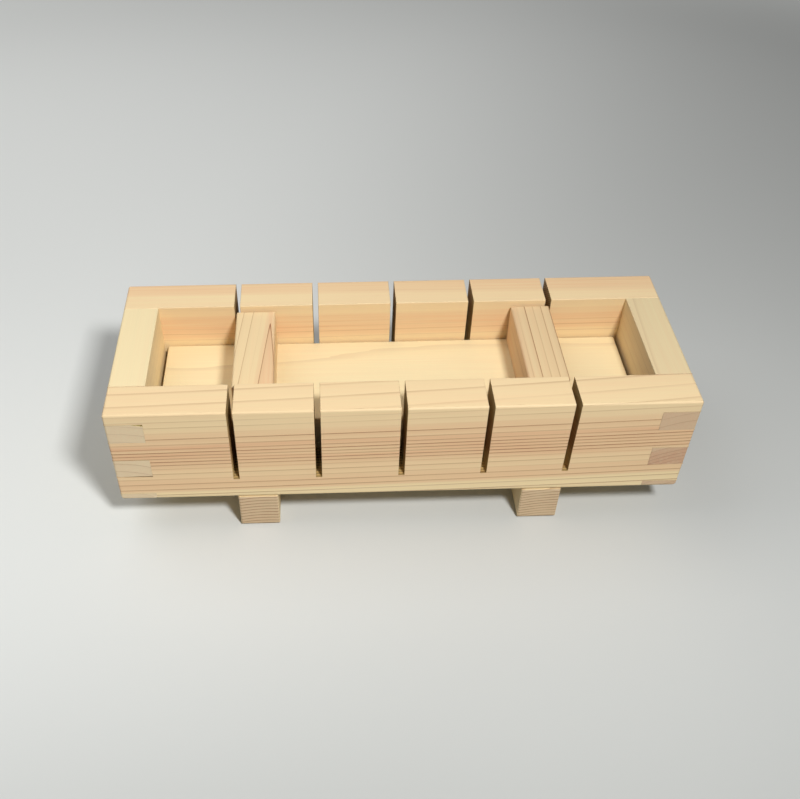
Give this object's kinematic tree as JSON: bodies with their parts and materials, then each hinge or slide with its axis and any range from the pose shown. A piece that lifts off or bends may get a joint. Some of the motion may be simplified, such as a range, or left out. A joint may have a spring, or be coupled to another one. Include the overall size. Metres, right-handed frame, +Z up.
{
  "type": "sushi rice mold press",
  "caption": "Wooden box press for pressed sushi: a slitted finger-jointed frame, a base on feet that closes it from below and a loose lid with grips that presses the rice.",
  "frame": {"origin": "on the ground, midway between the two feet and the two long walls", "axes": "+X along the length of the box, to the right in the picture; +Y across it, away from the viewer; +Z up, the way the lid and the frame lift off"},
  "size_m": [0.25, 0.09, 0.0715],
  "materials": {
    "long_wall_wood": "planed and sanded, unvarnished, fine straight grain along the wall",
    "end_wall_wood": "planed and sanded, unvarnished, wide pale grain",
    "lid_wood": "planed smooth, unvarnished, very pale",
    "batten_wood": "planed, unvarnished, dark growth lines along the length",
    "base_wood": "planed smooth, unvarnished, very pale",
    "foot_wood": "planed, unvarnished, growth rings showing on the sawn ends",
    "dowel_wood": "turned, unvarnished, hidden"
  },
  "bodies": {
    "base": {"base_board": "base_wood", "base_left_foot": "foot_wood", "base_right_foot": "foot_wood", "base_dowels": "dowel_wood"},
    "frame": {"front_wall": "long_wall_wood", "back_wall": "long_wall_wood", "left_wall": "end_wall_wood", "right_wall": "end_wall_wood"},
    "lid": {"lid_board": "lid_wood", "lid_left_batten": "batten_wood", "lid_right_batten": "batten_wood", "lid_dowels": "dowel_wood"}
  },
  "joints": [
    {"name": "frame_lift", "type": "slide", "parent": "base", "child": "frame", "axis": [0, 0, 1], "range_m": [0, 0.06]},
    {"name": "lid_lift", "type": "slide", "parent": "base", "child": "lid", "axis": [0, 0, 1], "range_m": [0, 0.13]}
  ]
}
